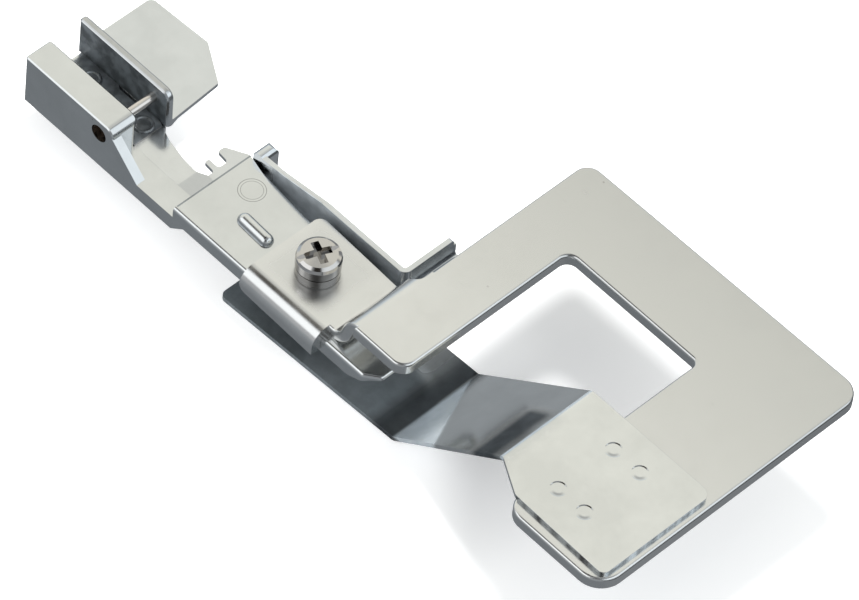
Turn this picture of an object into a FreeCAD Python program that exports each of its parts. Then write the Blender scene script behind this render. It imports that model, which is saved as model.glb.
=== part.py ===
import FreeCAD
import Part
import math
import os

V = FreeCAD.Vector

# Foot frame. Lengths are in mm, origin on the cross pin's axis, toe towards -Y
foot_left = -5.5
fork_inner_left = -1.92
fork_rear = 11.75
fork_top = 2.0
fork_edge_chamfer = 0.15
fork_corner = 0.4
fork_top_corner = 0.3
floor_chamfer_drop = 0.5
floor_chamfer_back = 0.6
nose_corner = 0.8
foot_bottom = -5.05
floor_top = -3.55
nose_front = -2.2
nose_radius = 1.25
web_top_rear_y = -1.2
web_top_rear_z = 1.75
rail_rear = -6.2
ledge_top = -3.0
ledge_right = -2.1
ledge_end = -10.84
ledge_waist = (-2.03, -3.7)
ledge_rear_right = -1.65
ledge_rear = -2.0
rail_inner_rear = -2.92
rail_inner = -4.32
gusset_top = 0.65

# Front plate and toe
plate_rear = -11.8
plate_top = -1.47
plate_thick = 2.0
plate_bottom = plate_top - plate_thick
plate_rear_right = 5.69
plate_mid_right = 5.43
plate_mid_y = -12.8
plate_right = 4.6
plate_taper_end = -21.65
toe_front = -42.7
toe_left_radius = 0.6
toe_chamfer_x = -4.1
toe_chamfer_y = -40.9
toe_right_radius = 2.2
belly_start = -11.6
belly_end = -13.5
toe_rise_start = -38.9
toe_rise_middle = (-41.6, -2.2)
toe_lip_bottom = -1.8
edge_round = 0.45

# Raised oblong stop
bead_radius = 0.88
bead_rear = (-0.8, -17.95)
bead_front = (-0.95, -21.35)
bead_sink = 0.05

# Side bracket
wall_left = 2.45
bracket_sheet = 1.0
wall_right = wall_left + bracket_sheet
wall_rear = 11.9
flag_top = -3.4
flag_rear = 12.23
flag_right_rear = 13.57
flag_right_front = 14.0
flag_corner_y = 3.65
flag_front_corner_x = 11.0
flag_front_corner_y = -1.25
flag_front_left_y = -1.8
flag_thick = 0.55
flag_step = 0.2
flag_taper = 1.0
bracket_bend = 0.6
bracket_inner_chamfer = 0.2
bracket_outer_round = 0.4

# Cross pin
pin_diameter = 1.16
pin_recess_diameter = 2.2
pin_recess_depth = 1.0

# Needle sheet and its rivets
needle_sheet_thick = 0.55
needle_top = floor_top + needle_sheet_thick
needle_rear = 11.2
needle_fork_right = 2.42
needle_relief_right = 2.08
needle_relief = [
    (needle_fork_right, 5.3),
    (needle_relief_right, 4.8),
    (needle_relief_right, 2.5),
    (needle_fork_right, 2.0),
]
needle_space_edge = [
    (needle_fork_right, -1.3, 0.3),
    (2.05, -2.0, 0.3),
    (1.35, -4.0, 4.0),
    (0.8, -6.7, 2.5),
    (0.62, -8.9, 1.2),
]
needle_front_rear = -10.0
needle_bend_rear = -8.9
needle_bend_front = -11.7
needle_front_top = plate_bottom
needle_front_end = -13.5
needle_front_right = 1.38
fork_rivet_points = [(0.61, 7.75), (0.69, -0.51)]
fork_rivet_head = 2.45
fork_rivet_dish = 1.9
fork_rivet_shank = 1.6
fork_rivet_height = 0.22
fork_rivet_chamfer = 0.13
fork_rivet_dish_depth = 0.12

# Finger plate and its flush rivet
finger_thick = 0.5
finger_play = 0.04
finger_left = needle_front_right + finger_play
finger_rear = -9.85
finger_front = -17.6
finger_right = 5.0
small_finger = [
    (2.36, finger_rear, 0.35),
    (2.5, -8.25, 0.15),
    (3.12, -8.25, 0.2),
    (3.08, -9.8, 0.4),
]
large_finger = [
    (4.42, -9.8, 0.45),
    (4.6, -8.05, 0.3),
    (5.5, -8.1, 0.35),
    (6.85, -10.6, 0.3),
    (5.4, -13.9),
]
finger_rivet_x = 2.57
finger_rivet_y = -15.43
finger_rivet_head = 3.2
finger_rivet_body = 2.5
finger_rivet_sink = 0.35
finger_rivet_foot = 0.35

# Edge guide
fin_sheet = 0.6
fin_outer = 6.02
fin_rear_outer = 6.25
fin_rear = -13.0
fin_straight_start = -17.0
fin_low_top = -0.35
fin_low_end = -13.4
fin_high_start = -23.6
fin_top = 1.3
fin_bottom = plate_bottom
wing_front = -35.7
wing_right = 12.7
wing_bottom = -1.3
wing_corner = 0.5
fin_bend = 0.35
wing_foot_front = -38.0
wing_foot_left = 7.2
lug_rear = -12.3
lug_front = -13.9
lug_right = 7.9
lug_left = 5.62
lug_top = -0.1
lug_round = 0.78
tab_left = 1.7
tab_rear = -24.0
tab_front = -31.0

# Guide plate
guide_sheet = 1.5
flange_sheet = 1.3
clamp_rear = -23.5
clamp_front = -34.7
clamp_right_rear = 4.94
clamp_right_front = 4.4
clamp_corner = 1.0
side_play = 0.03
flange_outer = foot_left - side_play - flange_sheet
flange_bottom_rear = -2.6
flange_bottom_front = -3.1
flange_rear_corner = 1.0
flange_outer_radius = 2.0
flange_root = 0.15
flange_lap = 3.0
flange_inner_radius = 0.4
clamp_top = plate_top + guide_sheet
arm_top = 4.0
arm_rear = -38.65
arm_front = -46.1
arm_left = -5.0
joggle_left = -4.62
arm_left_corner = 1.75
riser_foot = -36.1
riser_head = -37.35
joggle_bend = 1.1
frame_right_rear = 29.36
frame_right_front = 29.75
frame_front = -79.45
frame_left = -9.0
window_front = -65.3
window_right = 19.17
window_rear_corner = 1.3
window_front_corner = 0.8
frame_rear_corner = 1.8
frame_front_corner = 2.6
frame_left_corner = 3.0
frame_left_rear_corner = 2.3
guide_round = 0.35
shoulder_radius = 1.0
arm_overlap = 0.6

# Separator blade
blade_sheet = 0.55
blade_low_top = -6.4
blade_rear = -20.8
blade_bend_low = -46.35
blade_bend_high = -61.1
blade_bend_radius = 0.5
blade_end = -78.6
blade_rear_left = -6.8
blade_low_left = -5.83
blade_high_left = -5.1
blade_rear_right = 5.9
blade_low_right = 6.83
blade_high_right = 7.92
blade_wide_left = -7.53
blade_wide_y = -65.4
blade_end_left = -7.8
blade_corner = 0.8
dimple_diameter = 1.96
dimple_floor = 1.7
dimple_depth = 0.06
dimple_points = [(4.2, -67.9), (4.2, -71.8), (-3.65, -67.75), (-3.68, -71.65)]

# Clamp screw and washers
screw_x = -0.36
screw_y = -28.59
screw_shank = 2.0
screw_end = -4.2
thread_play = 0.03
washer_diameter = 4.85
washer_bore = 2.2
flat_washer_thick = 0.3
flat_washer_chamfer = 0.08
spring_washer_diameter = 4.95
spring_washer_thick = 0.7
spring_gap = 0.35
head_diameter = 5.05
head_under_chamfer = 0.22
head_side = 1.32
head_shoulder = 0.63
head_cap = 0.22
head_cap_diameter = 4.06
head_shoulder_out = 0.14
slot_turn = -22
slot_width = 0.75
slot_depth = 0.6
cross_width = 0.9
cross_length = 3.0
cross_depth = 1.1
guide_travel = 0.6
slot_play = 0.1


def corner_wire(corners, place):
    # Closed wire through corner points, each corner rounded by its own radius
    edges = []
    points = [V(c[0], c[1], 0) for c in corners]
    radii = [c[2] if len(c) > 2 else 0 for c in corners]
    count = len(points)
    ends = []
    for i in range(count):
        before = (points[i - 1] - points[i]).normalize()
        after = (points[(i + 1) % count] - points[i]).normalize()
        if radii[i] == 0:
            ends.append((points[i], None, points[i]))
            continue
        half = before.getAngle(after) / 2
        back = radii[i] / math.tan(half)
        middle = (before + after).normalize()
        arc_middle = points[i] + middle * (radii[i] / math.sin(half) - radii[i])
        ends.append((points[i] + before * back, arc_middle, points[i] + after * back))
    for i in range(count):
        start, arc_middle, stop = ends[i]
        if arc_middle is not None:
            edges.append(Part.Arc(place(start), place(arc_middle), place(stop)).toShape())
        following = ends[(i + 1) % count][0]
        if (following - stop).Length > 1e-6:
            edges.append(Part.makeLine(place(stop), place(following)))
    return Part.Wire(edges)


def plan_slab(corners, low, high):
    # Plan outline extruded between two heights
    wire = corner_wire(corners, lambda p: V(p.x, p.y, low))
    return Part.Face(wire).extrude(V(0, 0, high - low))


def side_slab(corners, left, right):
    # Outline in Y and Z extruded between two X positions
    wire = corner_wire(corners, lambda p: V(left, p.x, p.y))
    return Part.Face(wire).extrude(V(right - left, 0, 0))


def front_slab(corners, rear, front):
    # Outline in X and Z extruded between two Y positions
    wire = corner_wire(corners, lambda p: V(p.x, rear, p.y))
    return Part.Face(wire).extrude(V(0, front - rear, 0))


def sheet_corners(path, thick, inner_radius):
    # Outline of a bent sheet with one face on the path, on its right or, if negative, its left
    points = [V(p[0], p[1], 0) for p in path]
    normals = []
    for a, b in zip(points, points[1:]):
        along = (b - a).normalize()
        normals.append(V(along.y, -along.x, 0))
    near = []
    far = []
    for i, point in enumerate(points):
        if i == 0:
            shift = normals[0] * thick
        elif i == len(points) - 1:
            shift = normals[-1] * thick
        else:
            total = normals[i - 1] + normals[i]
            shift = total * (thick / total.dot(normals[i]))
        radius_near = 0
        radius_far = 0
        if 0 < i < len(points) - 1:
            turn = normals[i - 1].cross(normals[i]).z
            path_outside = (turn < 0) == (thick > 0)
            radius_near = inner_radius + (abs(thick) if path_outside else 0)
            radius_far = inner_radius + (0 if path_outside else abs(thick))
        near.append((point.x, point.y, radius_near))
        far.append((point.x + shift.x, point.y + shift.y, radius_far))
    return near + far[::-1]


def disc(x, y, low, high, diameter):
    return Part.makeCylinder(diameter / 2, high - low, V(x, y, low), V(0, 0, 1))


def across(left, right, diameter):
    return Part.makeCylinder(diameter / 2, right - left, V(left, 0, 0), V(1, 0, 0))


def edges_where(shape, test):
    return [edge for edge in shape.Edges if test(edge.BoundBox)]


def bend_offset():
    # How far the bracket's outer bend has curved away from its wall at the fork floor's height
    outer = bracket_bend + bracket_sheet
    below_centre = flag_top - bracket_sheet + outer - floor_top
    return outer - math.sqrt(outer ** 2 - below_centre ** 2)


def foot_frame():
    wall = side_slab(
        [
            (fork_rear, foot_bottom),
            (fork_rear, fork_top, fork_top_corner),
            (nose_front, fork_top, nose_radius),
            (nose_front - 0.12, foot_bottom),
        ],
        foot_left,
        fork_inner_left,
    )
    rims = edges_where(wall, lambda b: b.XLength < 1e-4 and b.ZMax > fork_top - nose_radius + 0.01)
    wall = wall.makeChamfer(fork_edge_chamfer, rims)
    wall = wall.common(
        plan_slab(
            [
                (foot_left, fork_rear, fork_corner),
                (fork_inner_left, fork_rear, fork_corner),
                (fork_inner_left, nose_front, nose_corner),
                (foot_left, nose_front),
            ],
            foot_bottom,
            fork_top,
        )
    )
    floor = side_slab(
        [
            (fork_rear, foot_bottom),
            (fork_rear, floor_top - floor_chamfer_drop),
            (fork_rear - floor_chamfer_back, floor_top),
            (ledge_rear, floor_top),
            (ledge_rear, foot_bottom),
        ],
        foot_left,
        wall_left + bend_offset(),
    )
    floor = floor.common(
        plan_slab(
            [
                (foot_left, fork_rear, fork_corner),
                (wall_left + bend_offset(), fork_rear),
                (wall_left + bend_offset(), ledge_rear),
                (foot_left, ledge_rear),
            ],
            foot_bottom,
            floor_top,
        )
    )
    ledge = plan_slab(
        [
            (foot_left, ledge_rear),
            (ledge_rear_right, ledge_rear),
            ledge_waist,
            (ledge_right, ledge_end),
            (ledge_right, belly_end),
            (foot_left, belly_end),
        ],
        foot_bottom,
        ledge_top,
    )
    web = plan_slab(
        [
            (foot_left, web_top_rear_y),
            (rail_inner, web_top_rear_y),
            (rail_inner, rail_rear),
            (foot_left, rail_rear),
        ],
        foot_bottom,
        fork_top,
    )
    above_web = side_slab(
        [
            (web_top_rear_y, web_top_rear_z),
            (web_top_rear_y, fork_top + 1),
            (rail_rear - 1, fork_top + 1),
            (rail_rear - 1, ledge_top + 0.05),
            (rail_rear, ledge_top + 0.05),
        ],
        foot_left - 1,
        fork_inner_left + 1,
    )
    web = web.cut(above_web)
    rail = plan_slab(
        [
            (foot_left, rail_rear),
            (rail_inner, rail_rear),
            (rail_inner, plate_rear),
            (foot_left, plate_rear),
        ],
        foot_bottom,
        ledge_top + 0.07,
    )
    plate = plan_slab(
        [
            (foot_left, plate_rear),
            (plate_rear_right, plate_rear),
            (plate_mid_right, plate_mid_y),
            (plate_right, plate_taper_end),
            (plate_right, toe_front, toe_right_radius),
            (toe_chamfer_x, toe_front, toe_left_radius),
            (foot_left, toe_chamfer_y, toe_left_radius),
        ],
        plate_bottom,
        plate_top,
    )
    plate = plate.makeFillet(
        edge_round,
        edges_where(
            plate,
            lambda b: abs(b.ZMin - plate_top) < 1e-4 and b.ZLength < 1e-4 and b.YMax < plate_rear - 0.1
            and b.XMax < 0,
        )
        + edges_where(
            plate,
            lambda b: abs(b.ZMin - plate_top) < 1e-4 and b.ZLength < 1e-4 and b.XLength < 1e-4
            and abs(b.XMin - foot_left) < 1e-4,
        ),
    )
    below_belly = side_slab(
        [
            (belly_start, foot_bottom - 1),
            (belly_start, foot_bottom),
            (belly_end, plate_bottom),
            (belly_end - 1, plate_bottom),
            (belly_end - 1, foot_bottom - 1),
        ],
        foot_left - 1,
        fork_inner_left + 1,
    )
    below_toe = side_slab(
        [
            (toe_rise_start, plate_bottom, 2.5),
            (toe_rise_middle[0], toe_rise_middle[1], 1.0),
            (toe_front - 1, toe_lip_bottom),
            (toe_front - 1, plate_bottom - 1),
            (toe_rise_start + 3, plate_bottom - 1),
            (toe_rise_start + 3, plate_bottom),
        ],
        foot_left - 1,
        plate_rear_right + 1,
    )
    rear = wall.fuse([floor, ledge, web, rail, web_gusset()]).cut(below_belly)
    body = rear.fuse([plate.cut(below_toe), stop_bead()])
    holes = [across(foot_left - 1, fork_inner_left + 1, pin_diameter)]
    holes.append(across(foot_left - 1, foot_left + pin_recess_depth, pin_recess_diameter))
    for x, y in fork_rivet_points:
        holes.append(disc(x, y, foot_bottom - 1, floor_top + 1, fork_rivet_shank))
    holes.append(finger_rivet_solid())
    holes.append(disc(screw_x, screw_y, plate_bottom - 1, plate_top + 1, screw_shank + 2 * thread_play))
    return body.cut(holes).removeSplitter()


def web_gusset():
    # Slanting facet between the wall's front, the web and the ledge
    peak = V(rail_inner, nose_front, gusset_top)
    corner = V(rail_inner, nose_front, ledge_top)
    right = V(rail_inner_rear, nose_front, ledge_top)
    front = V(rail_inner, rail_rear, ledge_top)
    triangles = [
        (peak, corner, right),
        (peak, corner, front),
        (peak, right, front),
        (corner, right, front),
    ]
    faces = [Part.Face(Part.makePolygon([a, b, c, a])) for a, b, c in triangles]
    return Part.Solid(Part.Shell(faces))


def stop_bead():
    rear = V(bead_rear[0], bead_rear[1], plate_top - bead_sink)
    front = V(bead_front[0], bead_front[1], plate_top - bead_sink)
    body = Part.makeCylinder(bead_radius, (front - rear).Length, rear, front - rear)
    ends = [Part.makeSphere(bead_radius, rear), Part.makeSphere(bead_radius, front)]
    upper = Part.makeBox(20, 20, 5, V(-10, -30, plate_top - 0.2))
    return body.fuse(ends).common(upper).removeSplitter()


def side_bracket():
    section = sheet_corners(
        [(wall_left, fork_top), (wall_left, flag_top - bracket_sheet), (20, flag_top - bracket_sheet)],
        -bracket_sheet,
        bracket_bend,
    )
    bent = front_slab(section, flag_rear + 1, flag_front_left_y - 2)
    wall_zone = side_slab(
        [
            (wall_rear, flag_top - 2),
            (wall_rear, fork_top, fork_top_corner),
            (nose_front, fork_top, nose_radius),
            (nose_front - 0.1, flag_top + bracket_bend),
            (flag_front_left_y, flag_top - 0.2),
            (flag_front_left_y, flag_top - 2),
        ],
        wall_left,
        wall_right,
    )
    inner_rim = edges_where(
        wall_zone, lambda b: b.ZMax > fork_top - nose_radius + 0.01 and abs(b.XMax - wall_left) < 1e-4
    )
    wall_zone = wall_zone.makeChamfer(bracket_inner_chamfer, inner_rim)
    outer_rim = edges_where(wall_zone, lambda b: b.ZMin > fork_top - 0.01 and abs(b.XMin - wall_right) < 1e-4)
    wall_zone = wall_zone.makeFillet(bracket_outer_round, outer_rim)
    flag_zone = plan_slab(
        [
            (wall_right, wall_rear),
            (wall_right + 0.6, flag_rear),
            (flag_right_rear, flag_rear, 0.8),
            (flag_right_front, flag_corner_y, 0.5),
            (flag_front_corner_x, flag_front_corner_y, 0.3),
            (wall_right, flag_front_left_y),
        ],
        flag_top - 2,
        fork_top,
    )
    thinning = front_slab(
        [
            (wall_right + flag_step, flag_top - 2 * bracket_sheet),
            (wall_right + flag_step, flag_top - bracket_sheet),
            (wall_right + flag_step + flag_taper, flag_top - flag_thick),
            (flag_right_front + 1, flag_top - flag_thick),
            (flag_right_front + 1, flag_top - 2 * bracket_sheet),
        ],
        flag_rear + 1,
        flag_front_left_y - 2,
    )
    bracket = bent.common(wall_zone.fuse(flag_zone))
    return bracket.cut([across(0, 10, pin_diameter), thinning]).removeSplitter()


def cross_pin():
    return across(foot_left + pin_recess_depth, wall_right, pin_diameter)


def needle_sheet():
    section = sheet_corners(
        [
            (needle_rear + 5, needle_top),
            (needle_bend_rear, needle_top),
            (needle_bend_front, needle_front_top),
            (needle_front_end - 5, needle_front_top),
        ],
        -needle_sheet_thick,
        0.8,
    )
    bent = side_slab(section, -10, 10)
    outline = plan_slab(
        [
            (fork_inner_left, needle_rear),
            (needle_fork_right, needle_rear),
        ]
        + needle_relief
        + needle_space_edge
        + [
            (needle_front_right, needle_front_rear, 0.4),
            (needle_front_right, needle_front_end),
            (ledge_right, needle_front_end),
            (ledge_right, ledge_end),
            ledge_waist,
            (ledge_rear_right, ledge_rear),
            (fork_inner_left, ledge_rear),
        ],
        foot_bottom,
        fork_top,
    )
    sheet = bent.common(outline)
    holes = [disc(x, y, foot_bottom, fork_top, fork_rivet_shank) for x, y in fork_rivet_points]
    return sheet.cut(holes)


def fork_rivet(x, y):
    head_top = needle_top + fork_rivet_height
    shank = disc(x, y, foot_bottom, needle_top, fork_rivet_shank)
    head = disc(x, y, needle_top, head_top - fork_rivet_chamfer, fork_rivet_head)
    shoulder = Part.makeCone(
        fork_rivet_head / 2,
        fork_rivet_head / 2 - fork_rivet_chamfer,
        fork_rivet_chamfer,
        V(x, y, head_top - fork_rivet_chamfer),
        V(0, 0, 1),
    )
    head = head.fuse(shoulder)
    dish = Part.makeCone(
        fork_rivet_dish / 2 - 0.12,
        fork_rivet_dish / 2,
        fork_rivet_dish_depth,
        V(x, y, head_top - fork_rivet_dish_depth),
        V(0, 0, 1),
    )
    return shank.fuse(head.cut(dish)).removeSplitter()


def fork_rivets():
    return Part.makeCompound([fork_rivet(x, y) for x, y in fork_rivet_points])


def finger_plate():
    body = plan_slab(
        [(finger_left, finger_rear, 0.15)]
        + small_finger
        + large_finger
        + [(finger_right, finger_front, 0.6), (finger_left, finger_front)],
        plate_bottom - finger_thick,
        plate_bottom,
    )
    return body.cut(disc(finger_rivet_x, finger_rivet_y, -10, 0, finger_rivet_body))


def finger_rivet_solid():
    low = plate_bottom - finger_thick
    shank = disc(finger_rivet_x, finger_rivet_y, low, plate_top, finger_rivet_body)
    head = Part.makeCone(
        finger_rivet_body / 2,
        finger_rivet_head / 2,
        finger_rivet_sink,
        V(finger_rivet_x, finger_rivet_y, plate_top - finger_rivet_sink),
        V(0, 0, 1),
    )
    foot = disc(finger_rivet_x, finger_rivet_y, low - finger_rivet_foot, low, finger_rivet_head)
    return shank.fuse([head, foot]).removeSplitter()


def fin_top_cut():
    # Everything above the fin's rising top line
    return side_slab(
        [
            (fin_rear + 3, fin_low_top),
            (fin_rear + 3, 10),
            (wing_front - 5, 10),
            (wing_front - 5, fin_top),
            (fin_high_start, fin_top, 6.0),
            (fin_low_end, fin_low_top, 3.0),
        ],
        0,
        40,
    )


def edge_guide():
    inner_rear = fin_rear_outer - fin_sheet
    inner = fin_outer - fin_sheet
    wing_rear = wing_front + fin_sheet
    fin = plan_slab(
        [
            (inner_rear, fin_rear),
            (fin_rear_outer, fin_rear),
            (fin_outer, fin_straight_start),
            (fin_outer, wing_rear, fin_bend),
            (wing_right, wing_rear),
            (wing_right, wing_front),
            (inner, wing_front, fin_bend + fin_sheet),
            (inner, fin_straight_start),
        ],
        fin_bottom,
        fin_top,
    )
    fin = fin.cut(fin_top_cut())
    below_wing = front_slab(
        [
            (fin_outer + 0.3, fin_bottom - 1),
            (fin_outer + 0.3, wing_bottom - 0.6, 0.8),
            (wing_foot_left, wing_bottom - fin_sheet),
            (wing_right + 5, wing_bottom - fin_sheet),
            (wing_right + 5, fin_bottom - 1),
        ],
        wing_rear + 0.4,
        wing_front - 0.4,
    )
    fin = fin.cut(below_wing)
    foot_section = sheet_corners(
        [
            (wing_rear, fin_top - 1.0),
            (wing_rear, wing_bottom - fin_sheet),
            (wing_foot_front, wing_bottom - fin_sheet),
        ],
        fin_sheet,
        0.3,
    )
    wing_foot = side_slab(foot_section, wing_foot_left, wing_right + 0.4)
    end_round = front_slab(
        [
            (wing_right - 3, fin_top + 1),
            (wing_right + 3, fin_top + 1),
            (wing_right + 3, fin_top - 1),
            (wing_right, fin_top - 1),
            (wing_right, fin_top, wing_corner),
            (wing_right - 3, fin_top),
        ],
        wing_rear + 1,
        wing_front - 0.2,
    )
    lug = plan_slab(
        [
            (lug_left, lug_rear),
            (lug_right, lug_rear),
            (lug_right, lug_front),
            (lug_left, lug_front),
        ],
        fin_bottom,
        lug_top,
    )
    lug_edges = edges_where(
        lug, lambda b: abs(b.ZMin - lug_top) < 1e-4 and b.ZLength < 1e-4 and b.YLength < 1e-4
    )
    lug = lug.makeFillet(lug_round, lug_edges)
    lug = lug.common(
        front_slab(
            [
                (lug_left, fin_bottom),
                (lug_right, fin_bottom),
                (lug_right, lug_top, lug_round),
                (lug_left, lug_top),
            ],
            lug_rear,
            lug_front,
        )
    )
    tab = plan_slab(
        [
            (tab_left, tab_rear, 0.8),
            (fin_outer, tab_rear),
            (fin_outer, tab_front),
            (tab_left, tab_front, 0.8),
        ],
        plate_bottom - fin_sheet,
        plate_bottom,
    )
    return fin.fuse([wing_foot, lug, tab]).cut(end_round).removeSplitter()


def joggled_clamp():
    # Clamp part, joggle and the root of the arm, cut from one bent section
    section = sheet_corners(
        [
            (clamp_rear + 5, clamp_top),
            (riser_foot, clamp_top),
            (riser_head, arm_top),
            (frame_front, arm_top),
        ],
        -guide_sheet,
        joggle_bend,
    )
    bent = side_slab(section, foot_left - 5, plate_right + 5)
    outline = plan_slab(
        [
            (flange_outer + flange_outer_radius + flange_root, clamp_rear),
            (clamp_right_rear, clamp_rear, clamp_corner),
            (clamp_right_front, riser_foot - 1.2),
            (clamp_right_front, arm_rear, shoulder_radius),
            (clamp_right_front + 2, arm_rear),
            (clamp_right_front + 2, arm_rear - arm_overlap),
            (joggle_left, arm_rear - arm_overlap),
            (joggle_left, clamp_front),
            (flange_outer + flange_outer_radius + flange_root, clamp_front),
        ],
        plate_bottom,
        arm_top + 1,
    )
    body = bent.common(outline)
    left_rim = edges_where(
        body,
        lambda b: b.XLength < 1e-4 and abs(b.XMin - joggle_left) < 1e-4 and b.YLength > 1e-3,
    )
    return body.makeFillet(guide_round, left_rim)


def arm_and_frame():
    # Arm and large plate with the open window, upper rims rounded
    slab = plan_slab(
        [
            (arm_left, arm_rear),
            (frame_right_rear, arm_rear, frame_rear_corner),
            (frame_right_front, frame_front, frame_front_corner),
            (frame_left, frame_front, frame_left_corner),
            (frame_left, window_front, frame_left_rear_corner),
            (window_right, window_front, window_front_corner),
            (window_right, arm_front, window_rear_corner),
            (arm_left, arm_front, arm_left_corner),
        ],
        arm_top - guide_sheet,
        arm_top,
    )
    rims = edges_where(slab, lambda b: b.ZMin > arm_top - 0.01)
    return slab.makeFillet(guide_round, rims)


def guide_plate():
    body = joggled_clamp().fuse(arm_and_frame())
    flange = front_slab(
        [
            (flange_outer + flange_lap, clamp_top),
            (flange_outer, clamp_top, flange_outer_radius),
            (flange_outer, flange_bottom_front),
            (flange_outer + flange_sheet, flange_bottom_front),
            (flange_outer + flange_sheet, plate_top, flange_inner_radius),
            (flange_outer + flange_lap, plate_top),
        ],
        clamp_rear,
        clamp_front,
    )
    flange = flange.common(
        side_slab(
            [
                (clamp_rear, clamp_top),
                (clamp_rear, flange_bottom_rear, flange_rear_corner),
                (clamp_front, flange_bottom_front),
                (clamp_front, clamp_top),
            ],
            flange_outer,
            flange_outer + flange_lap,
        )
    )
    slot_half = guide_travel + slot_play
    slot_bore = screw_shank + 2 * slot_play
    slot = plan_slab(
        [
            (screw_x - slot_bore / 2, screw_y + slot_half + slot_bore / 2, slot_bore * 0.49),
            (screw_x + slot_bore / 2, screw_y + slot_half + slot_bore / 2, slot_bore * 0.49),
            (screw_x + slot_bore / 2, screw_y - slot_half - slot_bore / 2, slot_bore * 0.49),
            (screw_x - slot_bore / 2, screw_y - slot_half - slot_bore / 2, slot_bore * 0.49),
        ],
        plate_top - 1,
        clamp_top + 1,
    )
    return body.fuse(flange).cut(slot).removeSplitter()


def separator_blade():
    section = sheet_corners(
        [
            (blade_rear + 5, blade_low_top),
            (blade_bend_low, blade_low_top),
            (blade_bend_high, arm_top + blade_sheet),
            (blade_end - 5, arm_top + blade_sheet),
        ],
        -blade_sheet,
        blade_bend_radius,
    )
    bent = side_slab(section, -20, 20)
    outline = plan_slab(
        [
            (blade_rear_left, blade_rear, blade_corner),
            (blade_rear_right, blade_rear, blade_corner),
            (blade_low_right, blade_bend_low),
            (blade_high_right, blade_bend_high),
            (blade_high_right, blade_end, 1.2),
            (blade_end_left, blade_end, 0.8),
            (blade_wide_left, blade_wide_y, 1.0),
            (blade_high_left, blade_bend_high),
            (blade_low_left, blade_bend_low),
        ],
        blade_low_top - 2,
        arm_top + 2,
    )
    blade = bent.common(outline)
    top = arm_top + blade_sheet
    dimples = [
        Part.makeCone(dimple_floor / 2, dimple_diameter / 2, dimple_depth, V(x, y, top - dimple_depth), V(0, 0, 1))
        for x, y in dimple_points
    ]
    return blade.cut(dimples)


def flat_washer():
    top = clamp_top + flat_washer_thick
    washer = disc(screw_x, screw_y, clamp_top, top, washer_diameter)
    rim = edges_where(washer, lambda b: abs(b.ZMin - top) < 1e-4 and b.ZLength < 1e-4)
    washer = washer.makeChamfer(flat_washer_chamfer, rim)
    return washer.cut(disc(screw_x, screw_y, clamp_top - 1, top + 1, washer_bore))


def spring_washer():
    low = clamp_top + flat_washer_thick
    high = low + spring_washer_thick
    ring = disc(screw_x, screw_y, low, high, spring_washer_diameter)
    ring = ring.cut(disc(screw_x, screw_y, low - 1, high + 1, washer_bore))
    split = side_slab(
        [
            (screw_y - spring_gap, low - 0.1),
            (screw_y, low - 0.1),
            (screw_y + spring_gap, high + 0.1),
            (screw_y, high + 0.1),
        ],
        screw_x + 0.5,
        screw_x + washer_diameter,
    )
    return ring.cut(split)


def clamp_screw():
    low = clamp_top + flat_washer_thick + spring_washer_thick
    rim = low + head_side
    shoulder = rim + head_shoulder
    top = shoulder + head_cap
    radius = head_diameter / 2
    cap_radius = head_cap_diameter / 2
    shank = screw_shank / 2
    corners = [
        (0, screw_end),
        (shank - 0.2, screw_end),
        (shank, screw_end + 0.2),
        (shank, low),
        (radius - head_under_chamfer, low),
        (radius, low + head_under_chamfer),
        (radius, rim),
        (radius - head_shoulder_out, rim + 0.6 * head_shoulder),
        (cap_radius, shoulder),
        (0, top),
        (0, screw_end),
    ]
    profile = Part.makePolygon([V(x, 0, z) for x, z in corners])
    screw = Part.Face(profile).revolve(V(0, 0, 0), V(0, 0, 1), 360)
    slot = Part.makeBox(
        head_diameter + 1, slot_width, 5, V(-radius - 0.5, -slot_width / 2, top - slot_depth)
    )
    slot.rotate(V(0, 0, 0), V(0, 0, 1), slot_turn)
    cuts = [slot]
    for turn in (slot_turn, slot_turn + 90):
        bar = Part.makeBox(
            cross_length, cross_width, 5, V(-cross_length / 2, -cross_width / 2, top - cross_depth)
        )
        bar.rotate(V(0, 0, 0), V(0, 0, 1), turn)
        cuts.append(bar)
    screw = screw.cut(cuts)
    screw.translate(V(screw_x, screw_y, 0))
    return screw


nodes = {
    "foot_frame": foot_frame,
    "side_bracket": side_bracket,
    "cross_pin": cross_pin,
    "needle_sheet": needle_sheet,
    "fork_rivets": fork_rivets,
    "finger_plate": finger_plate,
    "finger_rivet": finger_rivet_solid,
    "edge_guide": edge_guide,
    "guide_plate": guide_plate,
    "separator_blade": separator_blade,
    "flat_washer": flat_washer,
    "spring_washer": spring_washer,
    "clamp_screw": clamp_screw,
}

os.makedirs("parts", exist_ok=True)
for name, make in nodes.items():
    shape = make()
    print(name, "solids", len(shape.Solids), "valid", shape.isValid(), "volume", round(shape.Volume, 2))
    shape.exportStep("parts/" + name + ".step")
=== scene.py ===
import math
from typing import NamedTuple

import bpy
import bmesh
from mathutils import Matrix, Vector


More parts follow.
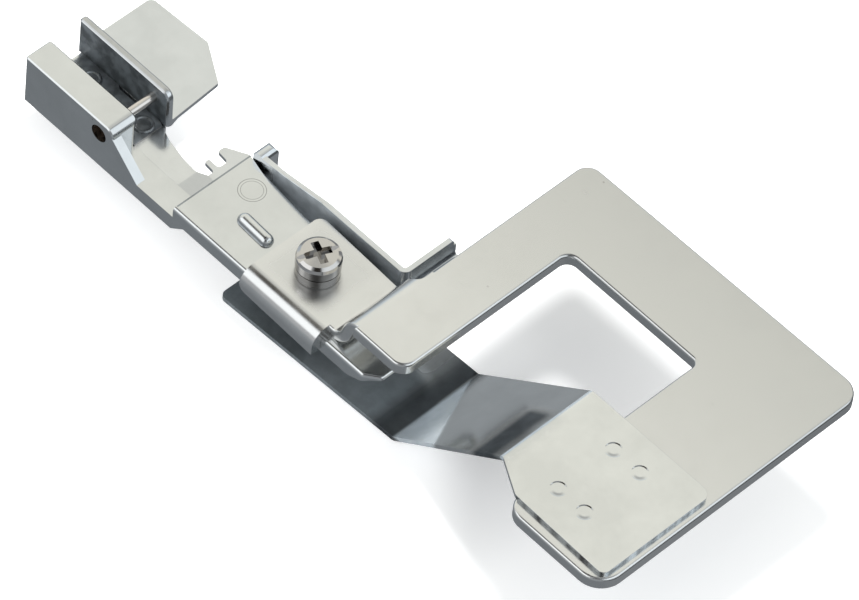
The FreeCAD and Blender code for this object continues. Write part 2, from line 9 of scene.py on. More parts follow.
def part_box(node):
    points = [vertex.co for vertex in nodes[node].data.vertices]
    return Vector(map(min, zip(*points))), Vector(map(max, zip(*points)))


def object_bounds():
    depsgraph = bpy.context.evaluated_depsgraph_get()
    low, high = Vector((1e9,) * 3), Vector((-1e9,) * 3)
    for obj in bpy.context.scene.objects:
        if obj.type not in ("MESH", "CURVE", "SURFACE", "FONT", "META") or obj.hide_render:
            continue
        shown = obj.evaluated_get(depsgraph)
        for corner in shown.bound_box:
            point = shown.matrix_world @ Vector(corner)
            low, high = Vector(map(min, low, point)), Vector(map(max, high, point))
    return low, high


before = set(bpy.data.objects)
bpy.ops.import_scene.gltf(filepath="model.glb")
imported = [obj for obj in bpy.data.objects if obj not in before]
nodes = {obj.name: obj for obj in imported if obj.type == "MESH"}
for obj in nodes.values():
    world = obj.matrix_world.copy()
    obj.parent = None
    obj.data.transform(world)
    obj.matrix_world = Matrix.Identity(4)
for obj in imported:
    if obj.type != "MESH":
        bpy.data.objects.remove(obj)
cad_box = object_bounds()
MM = 0.001


def box_mm(node):
    """Lowest and highest corner of a CAD node, in mm."""
    low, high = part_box(node)
    return Vector(low) / MM, Vector(high) / MM


def direction(azimuth, elevation):
    """Unit vector to a compass direction, counted from +X, and an elevation, both in degrees."""
    a = math.radians(azimuth)
    e = math.radians(elevation)
    return Vector((math.cos(a) * math.cos(e), math.sin(a) * math.cos(e), math.sin(e)))


# Camera

# Image and focal length in pixels, sensor in mm, clipping distances in metres, angles in degrees
IMAGE_WIDE = 859.0
FOCAL_PIXELS = 8000.0
SENSOR_WIDE = 36.0
NEAREST = 0.05
FARTHEST = 20.0
VIEW_AZIMUTH = -49.3
VIEW_ELEVATION = 52.0
VIEW_ROLL = 7.0
EYE = Vector((-386.4935, -376.6260, 662.4641)) * MM


def make_camera():
    """A long lens on the front left, high above the part. Azimuth 0 looks along +Y."""
    azimuth = math.radians(VIEW_AZIMUTH)
    elevation = math.radians(VIEW_ELEVATION)
    roll = math.radians(VIEW_ROLL)
    back = Vector((
        math.sin(azimuth) * math.cos(elevation),
        -math.cos(azimuth) * math.cos(elevation),
        math.sin(elevation),
    ))
    level = Vector((math.cos(azimuth), math.sin(azimuth), 0.0))
    rise = back.cross(level)
    right = math.cos(roll) * level + math.sin(roll) * rise
    up = math.cos(roll) * rise - math.sin(roll) * level
    lens = bpy.data.cameras.new("camera")
    lens.sensor_width = SENSOR_WIDE
    lens.lens = SENSOR_WIDE * FOCAL_PIXELS / IMAGE_WIDE
    lens.clip_start = NEAREST
    lens.clip_end = FARTHEST
    camera = bpy.data.objects.new("camera", lens)
    turn = Matrix((right, up, back)).transposed().to_4x4()
    camera.matrix_world = Matrix.Translation(EYE) @ turn
    bpy.context.collection.objects.link(camera)
    bpy.context.scene.camera = camera


# Node trees

class Tree:
    """Short calls for building the node tree of a world or a material."""

    def __init__(self, owner):
        owner.use_nodes = True
        self.tree = owner.node_tree
        self.tree.nodes.clear()

    def node(self, kind, **values):
        made = self.tree.nodes.new(kind)
        for name, value in values.items():
            setattr(made, name, value)
        return made

    def feed(self, socket, value):
        """Links a socket to another one, or sets it to a number or colour."""
        if isinstance(value, bpy.types.NodeSocket):
            self.tree.links.new(value, socket)
        else:
            socket.default_value = value

    def math(self, operation, *values):
        made = self.node("ShaderNodeMath", operation=operation)
        for socket, value in zip(made.inputs, values):
            self.feed(socket, value)
        return made.outputs[0]

    def weighted(self, parts, shares):
        """Sum of the parts, each times its share."""
        total = None
        for part, share in zip(parts, shares):
            term = self.math("MULTIPLY", part, share)
            total = term if total is None else self.math("ADD", total, term)
        return total

    def remap(self, value, low, high, to_low=0.0, to_high=1.0, smooth=True):
        kind = "SMOOTHSTEP" if smooth else "LINEAR"
        made = self.node("ShaderNodeMapRange", interpolation_type=kind, clamp=True)
        self.feed(made.inputs["Value"], value)
        self.feed(made.inputs["From Min"], low)
        self.feed(made.inputs["From Max"], high)
        self.feed(made.inputs["To Min"], to_low)
        self.feed(made.inputs["To Max"], to_high)
        return made.outputs["Result"]

    def band(self, value, low, high, soft):
        """1 between low and high, falling off softly at both."""
        rise = self.remap(value, low - soft, low + soft)
        fall = self.remap(value, high - soft, high + soft, 1.0, 0.0)
        return self.math("MULTIPLY", rise, fall)

    def mix(self, factor, first, second):
        """A mix of two colours, whose sockets come after the node's number and vector ones."""
        made = self.node("ShaderNodeMix", data_type="RGBA", clamp_factor=True)
        first_colour, second_colour = made.inputs[6], made.inputs[7]
        self.feed(made.inputs["Factor"], factor)
        self.feed(first_colour, first)
        self.feed(second_colour, second)
        return made.outputs[2]

    def separate(self, vector):
        made = self.node("ShaderNodeSeparateXYZ")
        self.feed(made.inputs[0], vector)
        return made.outputs

    def noise(self, where, scale, detail=2.0, roughness=0.5):
        made = self.node("ShaderNodeTexNoise")
        self.feed(made.inputs["Vector"], where)
        made.inputs["Scale"].default_value = scale
        made.inputs["Detail"].default_value = detail
        made.inputs["Roughness"].default_value = roughness
        return made.outputs["Fac"]


def grey(value, red=1.0, green=1.0, blue=1.0):
    """A grey of that brightness with a light tint."""
    return (value * red, value * green, value * blue, 1.0)


# Studio

SKY = grey(0.30, 0.95, 1.0, 1.05)
BELOW_DEEP = grey(0.215, 0.92, 1.0, 1.08)
BELOW_NEAR = grey(0.37, 0.93, 1.0, 1.06)
BELOW_RIGHT = grey(0.25, 0.94, 1.0, 1.06)
LOW_GLOW = grey(0.68, 0.88, 1.0, 1.10)
FRONT_GAP = grey(0.10, 0.95, 1.0, 1.05)
LEFT_RISE = grey(0.48, 0.97, 1.0, 1.03)
WARM_PANEL = grey(0.92, 1.0, 1.0, 0.925)
WARM_PANEL_TOP = grey(0.55, 0.98, 1.0, 0.98)
LEFT_PANEL = grey(1.30, 0.97, 1.0, 1.02)
FRONT_PANEL = grey(1.10, 0.93, 1.0, 1.05)
TOP_GAP = grey(0.045, 1.15, 1.0, 0.85)
VIEWER_GAP = grey(0.03, 1.1, 1.0, 0.9)
STUDIO_RIGHT = (0.75, -0.66)  # shares of x and y, about towards the picture's right

# Heights and distances to the right on the unit sphere, over which one colour turns to the next
BELOW_SPAN = (-0.85, -0.02)
RIGHT_SPAN = (0.1, 0.6)
HORIZON_SPAN = (-0.03, 0.06)
PANEL_TOP_SPAN = (0.83, 0.93)


def card(tree, parts, azimuth, half_wide, low, high, soft, soft_side):
    """Mask of a soft panel: compass direction from +X, half width, elevations and fades in degrees."""
    turn = math.radians(azimuth)
    ahead = tree.weighted(parts, (math.cos(turn), math.sin(turn)))
    aside = tree.weighted(parts, (-math.sin(turn), math.cos(turn)))
    bearing = tree.math("DEGREES", tree.math("ARCTAN2", aside, ahead))
    height = tree.math("DEGREES", tree.math("ARCSINE", parts[2]))
    return tree.math(
        "MULTIPLY",
        tree.band(bearing, -half_wide, half_wide, soft_side),
        tree.band(height, low, high, soft),
    )


def round_patch(tree, parts, azimuth, elevation, radius, soft):
    """Mask of a round patch of the sky: compass direction, elevation, radius and fade in degrees."""
    closeness = tree.weighted(parts, direction(azimuth, elevation))
    inner = math.cos(math.radians(radius - soft))
    outer = math.cos(math.radians(radius + soft))
    return tree.remap(closeness, outer, inner)


def make_world():
    """A studio with a warm panel behind, a panel on the left, one in front, and dark gaps between."""
    world = bpy.data.worlds.new("studio")
    bpy.context.scene.world = world
    tree = Tree(world)
    where = tree.node("ShaderNodeTexCoord")
    parts = tree.separate(where.outputs["Generated"])
    height = parts[2]
    toward_right = tree.weighted(parts, STUDIO_RIGHT)
    below = tree.mix(tree.remap(height, *BELOW_SPAN, smooth=False), BELOW_DEEP, BELOW_NEAR)
    below = tree.mix(tree.remap(toward_right, *RIGHT_SPAN), below, BELOW_RIGHT)
    colour = tree.mix(tree.remap(height, *HORIZON_SPAN), below, SKY)
    warm = tree.mix(tree.remap(height, *PANEL_TOP_SPAN), WARM_PANEL, WARM_PANEL_TOP)

    glow = card(tree, parts, azimuth=62.0, half_wide=50.0, low=2.0, high=22.0, soft=3.0, soft_side=10.0)
    colour = tree.mix(glow, colour, LOW_GLOW)
    gap = card(tree, parts, azimuth=-66.0, half_wide=52.0, low=-32.0, high=7.0, soft=4.0, soft_side=10.0)
    colour = tree.mix(gap, colour, FRONT_GAP)
    rise = card(tree, parts, azimuth=150.0, half_wide=46.0, low=-4.0, high=30.0, soft=4.0, soft_side=10.0)
    colour = tree.mix(rise, colour, LEFT_RISE)
    back = card(tree, parts, azimuth=42.0, half_wide=64.0, low=15.0, high=74.0, soft=3.5, soft_side=6.0)
    colour = tree.mix(back, colour, warm)
    left = card(tree, parts, azimuth=150.0, half_wide=38.0, low=20.0, high=57.0, soft=3.5, soft_side=6.0)
    colour = tree.mix(left, colour, LEFT_PANEL)
    front = card(tree, parts, azimuth=-73.0, half_wide=42.0, low=10.0, high=57.0, soft=4.0, soft_side=7.0)
    colour = tree.mix(front, colour, FRONT_PANEL)
    top = round_patch(tree, parts, azimuth=115.0, elevation=75.0, radius=17.0, soft=2.5)
    colour = tree.mix(top, colour, TOP_GAP)
    viewer = round_patch(tree, parts, azimuth=-139.4, elevation=52.0, radius=12.0, soft=4.0)
    colour = tree.mix(viewer, colour, VIEWER_GAP)

    light = tree.node("ShaderNodeBackground")
    tree.feed(light.inputs["Color"], colour)
    light.inputs["Strength"].default_value = 1.0
    out = tree.node("ShaderNodeOutputWorld")
    tree.feed(out.inputs["Surface"], light.outputs[0])


FLOOR_RADIUS = 4.0
FLOOR_SIDES = 96
FLOOR_CLEARANCE = 0.04 * MM
FLOOR_GRAIN = 900.0
FLOOR_RIGHT = (0.66, -0.75)  # shares of x and y, towards the picture's right
FLOOR_LIGHT = grey(0.83)
FLOOR_DARK = grey(0.80)
FLOOR_ROUGHNESS = 0.9
FLOOR_SHINE = 0.1
GLOW_START = 33.5 * MM
GLOW_END = 41.0 * MM
GLOW_LEFT = 0.62
GLOW_RIGHT = 0.35


def floor_paper():
    """Pale paper that glows a little, more on the foot's left than on its right."""
    paper = bpy.data.materials.new("floor_paper")
    tree = Tree(paper)
    where = tree.node("ShaderNodeTexCoord").outputs["Object"]
    tint = tree.mix(tree.noise(where, FLOOR_GRAIN), FLOOR_DARK, FLOOR_LIGHT)
    aside = tree.weighted(tree.separate(where), FLOOR_RIGHT)
    glow = tree.remap(aside, GLOW_START, GLOW_END, GLOW_LEFT, GLOW_RIGHT)
    shader = tree.node("ShaderNodeBsdfPrincipled")
    tree.feed(shader.inputs["Base Color"], tint)
    shader.inputs["Roughness"].default_value = FLOOR_ROUGHNESS
    shader.inputs["Specular IOR Level"].default_value = FLOOR_SHINE
    shader.inputs["Emission Color"].default_value = grey(1.0)
    tree.feed(shader.inputs["Emission Strength"], glow)
    out = tree.node("ShaderNodeOutputMaterial")
    tree.feed(out.inputs["Surface"], shader.outputs[0])
    return paper


def make_floor():
    """A wide pale floor just under the part, which the metal doesn't mirror."""
    mesh = bpy.data.meshes.new("floor")
    shape = bmesh.new()
    bmesh.ops.create_circle(shape, cap_ends=True, segments=FLOOR_SIDES, radius=FLOOR_RADIUS)
    shape.to_mesh(mesh)
    shape.free()
    mesh.materials.append(floor_paper())
    floor = bpy.data.objects.new("floor", mesh)
    lowest = cad_box[0][2]
    floor.location = (0.0, 0.0, lowest - FLOOR_CLEARANCE)
    floor.visible_glossy = False
    bpy.context.collection.objects.link(floor)


LAMP_AIM = Vector((8.0, -45.0, -5.0)) * MM
LAMP_DISTANCE = 0.70


def soft_lamp(name, azimuth, elevation, size, power):
    """A round soft lamp aimed at the part's middle, which the metal doesn't mirror."""
    lamp = bpy.data.lights.new(name, "AREA")
    lamp.shape = "DISK"
    lamp.size = size
    lamp.energy = power
    away = direction(azimuth, elevation)
    holder = bpy.data.objects.new(name, lamp)
    holder.location = LAMP_AIM + away * LAMP_DISTANCE
    holder.rotation_mode = "QUATERNION"
    holder.rotation_quaternion = (-away).to_track_quat("-Z", "Y")
    holder.visible_glossy = False
    bpy.context.collection.objects.link(holder)


def make_lights():
    soft_lamp("key", azimuth=40.0, elevation=51.5, size=0.20, power=5.4)
    soft_lamp("fill", azimuth=-76.0, elevation=25.0, size=0.22, power=2.6)


# Plated metal

class Zone(NamedTuple):
    """A box in mm in which the plating gets its own colour, roughness and metal: mostly painted shade or
    a painted highlight, in places duller or stained.
    """

    x: tuple
    y: tuple
    z: tuple
    fade: float         # width of its soft sides
    colour: tuple
    rough: float
    metal: float        # 1 mirrors fully, less is partly dull
    mottle: float       # share by which its blotches are lighter and darker
    lean: float = 0.0   # share of x that is added to y before its limits are tested


class Ring(NamedTuple):
    """A fine dark circle about an upright axis, in mm."""

    x: float
    y: float
    radius: float
    half_wide: float


class WeldSpot(NamedTuple):
    """A soft raised spot about an upright axis, in mm."""

    x: float
    y: float
    radius: float
    rise: float


# Noise scales count features in a metre
CLOUD_SCALE = 170.0
BLOTCH_SCALE = 700.0
PIT_SCALE = 420.0
PIT_SPREAD_SCALE = 330.0
GRAIN_SCALE = 2600.0
HAIRLINE_SCALE = 2400.0
HAIRLINE_STRETCH = (1.0, 0.08, 1.0)
HAIRLINE_TURN = (0.0, 0.0, 0.6)

# Ranges of noise or distance, over which a mark fades in
VEIL_SPAN = (0.36, 0.64)
SHEEN_SPAN = (0.3, 0.7)
BLOTCH_SPAN = (0.35, 0.65)
HAIRLINE_SPAN = (0.70, 0.76)
PIT_SPAN = (0.035, 0.07)
PIT_SPREAD_SPAN = (0.56, 0.63)

# Strengths of the marks in colour, roughness and height
CLOUD_DARK = 0.94
CLOUD_LIGHT = 1.03
SHEEN_LOW = 0.8
SHEEN_HIGH = 1.25
HAIRLINE_DULLING = 0.06
PIT_DULLING = 0.35
GRAIN_HEIGHT = 0.35
HAIRLINE_HEIGHT = 0.4
PIT_BROWN = grey(0.16, 1.1, 1.0, 0.85)
RING_GREY = grey(0.20)
RING_STRENGTH = 0.75
BUMP_DEPTH = 0.02 * MM
BEVEL_SAMPLES = 6
SPOT_LEVEL = 0.45  # share of a weld spot's radius that stays level


def shaded(tint, factor):
    """A tint, given as brightness, red, green and blue, made lighter or darker."""
    return grey(tint[0] * factor, *tint[1:])


def axis_distance(tree, parts, x, y):
    """Distance from an upright axis at x, y in mm."""
    across = tree.math("SUBTRACT", parts[0], x * MM)
    along = tree.math("SUBTRACT", parts[1], y * MM)
    squares = tree.math("ADD", tree.math("MULTIPLY", across, across), tree.math("MULTIPLY", along, along))
    return tree.math("SQRT", squares)


def hairlines(tree, where):
    """Fine lines that run a little aslant of Y."""
    stretch = tree.node("ShaderNodeMapping")
    tree.feed(stretch.inputs["Vector"], where)
    stretch.inputs["Scale"].default_value = HAIRLINE_STRETCH
    stretch.inputs["Rotation"].default_value = HAIRLINE_TURN
    return tree.noise(stretch.outputs[0], HAIRLINE_SCALE, detail=4.0)


def scattered_pits(tree, where, amount):
    """Small pits that stand in some places and are missing in others."""
    cells = tree.node("ShaderNodeTexVoronoi")
    tree.feed(cells.inputs["Vector"], where)
    cells.inputs["Scale"].default_value = PIT_SCALE
    pits = tree.remap(cells.outputs["Distance"], *PIT_SPAN, 1.0, 0.0)
    spread = tree.remap(tree.noise(where, PIT_SPREAD_SCALE), *PIT_SPREAD_SPAN)
    return tree.math("MULTIPLY", tree.math("MULTIPLY", pits, spread), amount)


def zone_mask(tree, parts, zone):
    if zone.lean:
        leaned = tree.math("ADD", parts[1], tree.math("MULTIPLY", parts[0], zone.lean))
        parts = (parts[0], leaned, parts[2])
    sides = [
        tree.band(part, low * MM, high * MM, zone.fade * MM)
        for part, (low, high) in zip(parts, (zone.x, zone.y, zone.z))
    ]
    return tree.math("MULTIPLY", tree.math("MULTIPLY", sides[0], sides[1]), sides[2])


def zone_colour(tree, where, zone):
    blotches = tree.remap(tree.noise(where, BLOTCH_SCALE, detail=4.0), *BLOTCH_SPAN)
    red, green, blue = zone.colour[:3]
    darker = grey(1.0 - zone.mottle, red, green, blue)
    lighter = grey(1.0 + zone.mottle, red, green, blue)
    return tree.mix(blotches, darker, lighter)


def lay_zones(tree, where, parts, zones, colour, rough):
    """Lays the zones over the colour and roughness, and returns both with the metallic value."""
    dull = None
    for zone in zones:
        mask = zone_mask(tree, parts, zone)
        colour = tree.mix(mask, colour, zone_colour(tree, where, zone))
        kept = tree.math("MULTIPLY", rough, tree.math("SUBTRACT", 1.0, mask))
        rough = tree.math("ADD", kept, tree.math("MULTIPLY", mask, zone.rough))
        lost = tree.math("MULTIPLY", mask, 1.0 - zone.metal)
        dull = lost if dull is None else tree.math("MAXIMUM", dull, lost)
    metallic = 1.0 if dull is None else tree.math("SUBTRACT", 1.0, dull)
    return colour, rough, metallic


def draw_rings(tree, parts, rings, colour):
    for ring in rings:
        distance = axis_distance(tree, parts, ring.x, ring.y)
        inner = (ring.radius - ring.half_wide) * MM
        outer = (ring.radius + ring.half_wide) * MM
        line = tree.band(distance, inner, outer, ring.half_wide * MM)
        colour = tree.mix(tree.math("MULTIPLY", line, RING_STRENGTH), colour, RING_GREY)
    return colour


def relief(tree, grain, lines, pits, strength, edge):
    """Normal of the fine grain, hairlines and pits, with edges softened over that many mm."""
    height = tree.math("MULTIPLY", grain, GRAIN_HEIGHT)
    height = tree.math("ADD", height, tree.math("MULTIPLY", lines, HAIRLINE_HEIGHT))
    height = tree.math("SUBTRACT", height, pits)
    bump = tree.node("ShaderNodeBump")
    bump.inputs["Strength"].default_value = strength
    bump.inputs["Distance"].default_value = BUMP_DEPTH
    tree.feed(bump.inputs["Height"], height)
    if edge:
        soft_edge = tree.node("ShaderNodeBevel", samples=BEVEL_SAMPLES)
        soft_edge.inputs["Radius"].default_value = edge * MM
        tree.feed(bump.inputs["Normal"], soft_edge.outputs[0])
    return bump.outputs[0]


def raise_weld_spots(tree, parts, weld_spots, surface):
    for spot in weld_spots:
        distance = axis_distance(tree, parts, spot.x, spot.y)
        level = spot.radius * SPOT_LEVEL * MM
        raised = tree.node("ShaderNodeBump")
        raised.inputs["Strength"].default_value = 1.0
        raised.inputs["Distance"].default_value = spot.rise * MM
        tree.feed(raised.inputs["Height"], tree.remap(distance, level, spot.radius * MM, 1.0, 0.0))
        tree.feed(raised.inputs["Normal"], surface)
        surface = raised.outputs[0]
    return surface


def plated_metal(
    name, tint, rough, bumps, pitted=0.5, edge=0.0, wash=None, zones=(), rings=(), weld_spots=(),
):
    """Bright plating: cloudy sheen, fine pits and hairlines, and what the piece's own marks add, much of
    it painted shade and highlights.

    tint is brightness, red, green and blue. wash is (start, end, factor): from x = start to x = end in
    mm, the brightness changes slowly by that factor. edge is how far edges are softened, in mm.
    """
    metal = bpy.data.materials.new(name)
    tree = Tree(metal)
    where = tree.node("ShaderNodeTexCoord").outputs["Object"]
    parts = tree.separate(where)
    cloud = tree.noise(where, CLOUD_SCALE, detail=6.0, roughness=0.62)
    grain = tree.noise(where, GRAIN_SCALE, detail=3.0)
    lines = hairlines(tree, where)
    scratches = tree.remap(lines, *HAIRLINE_SPAN)
    pits = scattered_pits(tree, where, pitted)

    veil = tree.remap(cloud, *VEIL_SPAN, smooth=False)
    colour = tree.mix(veil, shaded(tint, CLOUD_DARK), shaded(tint, CLOUD_LIGHT))
    if wash:
        start, end, factor = wash
        fade = tree.remap(parts[0], start * MM, end * MM, smooth=False)
        colour = tree.mix(fade, colour, shaded(tint, factor))
    colour = tree.mix(pits, colour, PIT_BROWN)
    dullness = tree.remap(cloud, *SHEEN_SPAN, rough * SHEEN_LOW, rough * SHEEN_HIGH)
    dullness = tree.math("ADD", dullness, tree.math("MULTIPLY", scratches, HAIRLINE_DULLING))
    dullness = tree.math("ADD", dullness, tree.math("MULTIPLY", pits, PIT_DULLING))

    colour, dullness, metallic = lay_zones(tree, where, parts, zones, colour, dullness)
    colour = draw_rings(tree, parts, rings, colour)
    surface = relief(tree, grain, lines, pits, bumps, edge)
    surface = raise_weld_spots(tree, parts, weld_spots, surface)

    shader = tree.node("ShaderNodeBsdfPrincipled")
    tree.feed(shader.inputs["Base Color"], colour)
    tree.feed(shader.inputs["Roughness"], dullness)
    tree.feed(shader.inputs["Metallic"], metallic)
    tree.feed(shader.inputs["Normal"], surface)
    out = tree.node("ShaderNodeOutputMaterial")
    tree.feed(out.inputs["Surface"], shader.outputs[0])
    return metal


def dress(node, metal):
    """Gives one piece of the frame its finish."""
    owner = nodes[node]
    if not owner.material_slots:
        owner.data.materials.append(metal)
    for place in owner.material_slots:
        place.material = metal


# Finish of each piece, with painted shade and highlights

WIDE = (-100.0, 100.0)
STAIN = grey(0.10, 1.25, 1.0, 0.78)
# Painted shade for faces deep in the fork, where little light reaches; those zones are also duller.
FORK_SHADE_BLUE = grey(0.18, 0.90, 1.0, 1.08)
SCREW_TINT = (1.02, 0.985, 0.95)
PIN_HOLE_REACH = 1.14
BLADE_SHEET = 0.55
WELD_SPOTS = ((4.2, -67.9), (4.2, -71.8), (-3.65, -67.75), (-3.68, -71.65))


def dress_foot_frame():
    """A stained pin hole, and painted shade on the stop's sides and on the front plate's rear rim."""
    left_side = box_mm("foot_frame")[0].x
    plate_top = box_mm("finger_rivet")[1].z
    pin_hole = Zone(
        x=(left_side + 0.05, left_side + 1.5), y=(-PIN_HOLE_REACH, PIN_HOLE_REACH),
        z=(-PIN_HOLE_REACH, PIN_HOLE_REACH), fade=0.06,
        colour=STAIN, rough=0.35, metal=0.9, mottle=0.9,
    )
    # Painted shade: the stop's sides are greyer so that its top stands out bright.
    stop_side_shade = Zone(
        x=(-2.0, 0.3), y=(-22.5, -16.9), z=(plate_top + 0.04, plate_top + 0.45), fade=0.05,
        colour=grey(0.40, 0.95, 1.0, 1.04), rough=0.12, metal=1.0, mottle=0.1,
    )
    # Painted shade on the front plate's rear rim.
    rear_rim_shade = Zone(
        x=(-5.0, 6.0), y=(-12.0, -11.75), z=(-2.4, plate_top + 0.05), fade=0.05,
        colour=grey(0.34, 0.93, 1.0, 1.06), rough=0.16, metal=1.0, mottle=0.1,
    )
    dress("foot_frame", plated_metal(
        "plating_foot", tint=(0.745, 0.985, 1.0, 0.995), rough=0.16, bumps=0.25, pitted=0.7,
        zones=(pin_hole, stop_side_shade, rear_rim_shade),
    ))


def dress_side_bracket():
    """Painted shade on the wall's duller inside and on its top edge."""
    low, high = box_mm("side_bracket")
    # Painted shade on the wall's inside, which is also duller.
    inside = Zone(
        x=(low.x - 0.15, low.x + 0.07), y=(-2.0, 13.0), z=(-5.0, high.z - 0.26), fade=0.05,
        colour=FORK_SHADE_BLUE, rough=0.34, metal=0.25, mottle=0.40,
    )
    # Painted shade: the top edge is greyer than the plating.
    top_edge_shade = Zone(
        x=(low.x + 0.05, 4.0), y=(-3.0, 13.0), z=(high.z - 0.24, high.z + 1.0), fade=0.05,
        colour=grey(0.55, 0.99, 1.0, 1.0), rough=0.22, metal=1.0, mottle=0.04,
    )
    dress("side_bracket", plated_metal(
        "plating_bracket", tint=(0.735, 0.975, 1.0, 1.015), rough=0.16, bumps=0.25, pitted=0.7,
        zones=(inside, top_edge_shade),
    ))


def dress_needle_sheet():
    """The strip is duller, and in painted shade, where it lies deep in the fork."""
    # Painted shade on the strip deep in the fork.
    fork_shade = Zone(
        x=(-1.93, 2.6), y=(-1.95, 10.9), z=(-4.0, -2.9), fade=0.15,
        colour=FORK_SHADE_BLUE, rough=0.30, metal=0.45, mottle=0.45,
    )
    dress("needle_sheet", plated_metal(
        "plating_needle_sheet", tint=(0.765, 0.985, 1.0, 1.0), rough=0.16, bumps=0.2, edge=0.05,
        zones=(fork_shade,),
    ))


def dress_fork_rivets():
    # Painted shade on the rivets deep in the fork, which are also duller there.
    fork_shade = Zone(
        x=(-2.0, 3.0), y=(-2.5, 12.0), z=(-4.0, -2.0), fade=0.1,
        colour=grey(0.22, 0.94, 1.0, 1.04), rough=0.26, metal=0.7, mottle=0.35,
    )
    dress("fork_rivets", plated_metal(
        "plating_rivets", tint=(0.74, 0.985, 1.0, 1.0), rough=0.16, bumps=0.25, zones=(fork_shade,),
    ))


def dress_finger_rivet():
    """A flush head that shows as two fine circles about its own middle."""
    low, high = box_mm("finger_rivet")
    middle = (low + high) / 2
    rings = (
        Ring(middle.x, middle.y, radius=1.55, half_wide=0.035),
        Ring(middle.x, middle.y, radius=1.24, half_wide=0.025),
    )
    dress("finger_rivet", plated_metal(
        "plating_flush_rivet", tint=(0.74, 0.985, 1.0, 0.99), rough=0.16, bumps=0.25, rings=rings,
    ))


def dress_finger_plate():
    dress("finger_plate", plated_metal(
        "plating_thin_sheet", tint=(0.76, 0.98, 1.0, 1.01), rough=0.15, bumps=0.16, pitted=0.6,
    ))


def dress_edge_guide():
    """Painted shade on the inner faces of the wing and the fin, below their bright top edges."""
    high = box_mm("edge_guide")[1]
    # Painted shade on the wing's inner face.
    wing_inside_shade = Zone(
        x=(6.5, high.x - 0.1), y=(-35.9, -35.6), z=(-4.0, high.z - 0.14), fade=0.05,
        colour=grey(0.36, 0.93, 1.0, 1.06), rough=0.2, metal=0.9, mottle=0.1,
    )
    # Painted shade on the fin's inner face, which is also duller.
    fin_inside_shade = Zone(
        x=(5.30, 5.52), y=(-36.0, -13.5), z=(-4.0, high.z - 0.10), fade=0.04,
        colour=grey(0.46, 0.93, 1.0, 1.06), rough=0.3, metal=0.40, mottle=0.12,
    )
    dress("edge_guide", plated_metal(
        "plating_edge_guide", tint=(0.74, 0.975, 1.0, 1.015), rough=0.15, bumps=0.16, pitted=0.6,
        zones=(wing_inside_shade, fin_inside_shade),
    ))


def dress_guide_plate():
    """A satin clamp part round the screw, and a plate that darkens slowly to the right."""
    clamp_top = box_mm("flat_washer")[0].z
    clamp = Zone(
        x=(-4.2, 3.8), y=(-33.0, -24.6), z=(clamp_top - 0.23, clamp_top + 0.27), fade=0.9,
        colour=grey(0.77, 1.0, 1.0, 0.985), rough=0.40, metal=1.0, mottle=0.02,
    )
    dress("guide_plate", plated_metal(
        "plating_sheet", tint=(0.78, 1.0, 1.0, 0.985), rough=0.20, bumps=0.14, pitted=0.3,
        wash=(2.0, 30.0, 0.80), zones=(clamp,),
    ))


def blade_flat_zones(flat_top):
    """The flat below the foot, in painted shade: grey, and dark on its right and at the foot of the
    slope.
    """
    depth = (flat_top - 1.6, flat_top + 1.2)
    # Painted shade on the flat under the foot.
    rear = Zone(
        x=WIDE, y=(-44.0, -10.0), z=depth, fade=1.2,
        colour=grey(0.31, 0.90, 1.0, 1.05), rough=0.26, metal=0.50, mottle=0.08,
    )
    # Painted shade on the flat under the arm.
    right = Zone(
        x=(2.6, 8.0), y=(-44.5, -36.0), z=depth, fade=1.2,
        colour=grey(0.060, 0.92, 1.0, 1.06), rough=0.30, metal=0.5, mottle=0.12,
    )
    # Painted shade at the foot of the slope.
    front = Zone(
        x=WIDE, y=(-47.2, -43.4), z=depth, fade=1.2,
        colour=grey(0.060, 0.88, 1.0, 1.12), rough=0.20, metal=0.6, mottle=0.12,
    )
    return rear, right, front


def blade_slope_zones(flat_top, top):
    """The slope: a painted highlight at its slanting foot, painted shade towards its top, and a fine
    painted highlight along the bend.
    """
    # Painted highlight: a light field at the slope's slanting foot.
    foot = Zone(
        x=WIDE, y=(-49.25, -30.0), z=(flat_top + 0.16, 2.0), fade=0.25, lean=-0.505,
        colour=grey(0.95, 0.93, 1.0, 1.05), rough=0.26, metal=0.70, mottle=0.04,
    )
    upper = Zone(
        # Painted shade towards the slope's top.
        x=(-9.0, 3.2), y=(-61.8, -56.9), z=(-3.0, top - 0.45), fade=0.9,
        colour=grey(0.075, 0.86, 1.0, 1.10), rough=0.22, metal=0.7, mottle=0.15,
    )
    # Painted highlight: a fine light line along the bend.
    bend = Zone(
        x=WIDE, y=(-61.4, -60.7), z=(top - 0.65, top - 0.13), fade=0.14,
        colour=grey(0.72, 0.90, 1.0, 1.08), rough=0.25, metal=0.6, mottle=0.05,
    )
    return foot, upper, bend


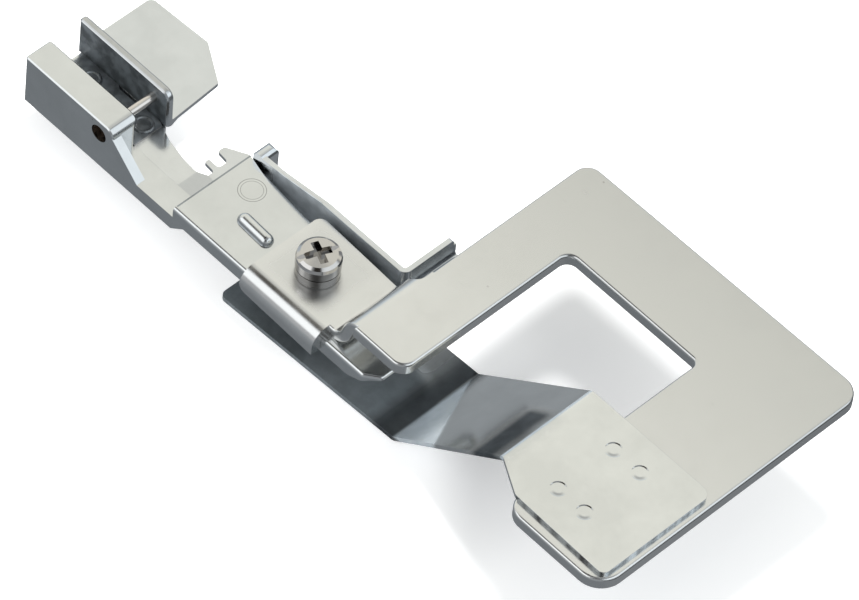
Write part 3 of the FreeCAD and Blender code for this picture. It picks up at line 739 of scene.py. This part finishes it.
def blade_end_zones(front, top):
    """The cut edges of the end that lies on the plate, on its left and in front: painted shade, blotched.
    """
    # Painted shade on the cut edges, with strong blotches.
    left_edge_shade = Zone(
        x=(-9.0, -7.46), y=(front + 0.3, -65.5), z=(top - 0.65, top - 0.05), fade=0.03,
        colour=grey(0.17, 0.95, 1.0, 1.0), rough=0.22, metal=0.9, mottle=0.95,
    )
    front_edge_shade = Zone(
        x=(-7.4, 8.0), y=(front - 0.4, front + 0.1), z=(top - 0.65, top - 0.07), fade=0.03,
        colour=grey(0.52, 0.92, 1.0, 1.06), rough=0.22, metal=0.9, mottle=0.60,
    )
    return left_edge_shade, front_edge_shade


def dress_blade():
    """The blade has painted shade and highlights on its flat, slope and end, and four weld spots."""
    low, high = box_mm("separator_blade")
    flat_top = low.z + BLADE_SHEET
    zones = (
        *blade_flat_zones(flat_top),
        *blade_slope_zones(flat_top, high.z),
        *blade_end_zones(low.y, high.z),
    )
    dress("separator_blade", plated_metal(
        "plating_blade", tint=(0.775, 0.99, 1.0, 0.985), rough=0.12, bumps=0.12, pitted=0.8, edge=0.06,
        zones=zones, weld_spots=[WeldSpot(x, y, radius=0.92, rise=0.05) for x, y in WELD_SPOTS],
    ))


def dress_screw():
    """Warm grey washers and a lighter screw, with a darker side to its head: the washers' darker grey and
    the head's side are painted shade.
    """
    # Painted shade on the side of the screw's head.
    head_side_shade = Zone(
        x=(-2.86, 2.14), y=(-31.1, -26.1), z=(1.0, 2.32), fade=0.04,
        colour=grey(0.26, *SCREW_TINT), rough=0.08, metal=1.0, mottle=0.15,
    )
    dress("clamp_screw", plated_metal(
        "plating_cap", tint=(0.60, *SCREW_TINT), rough=0.09, bumps=0.2, zones=(head_side_shade,),
    ))
    # Painted shade: the washers are a darker copy of the screw's plating.
    shaded_turned = plated_metal("plating_turned_shaded", tint=(0.30, *SCREW_TINT), rough=0.14, bumps=0.2)
    for washer in ("flat_washer", "spring_washer"):
        dress(washer, shaded_turned)


def dress_cross_pin():
    dress("cross_pin", plated_metal(
        "plating_pin", tint=(0.74, 1.04, 0.98, 0.92), rough=0.18, bumps=0.3,
    ))


# Making

make_camera()
make_world()
make_floor()
make_lights()
dress_foot_frame()
dress_side_bracket()
dress_needle_sheet()
dress_fork_rivets()
dress_finger_rivet()
dress_finger_plate()
dress_edge_guide()
dress_guide_plate()
dress_blade()
dress_screw()
dress_cross_pin()
bpy.context.scene.view_settings.view_transform = "Standard"
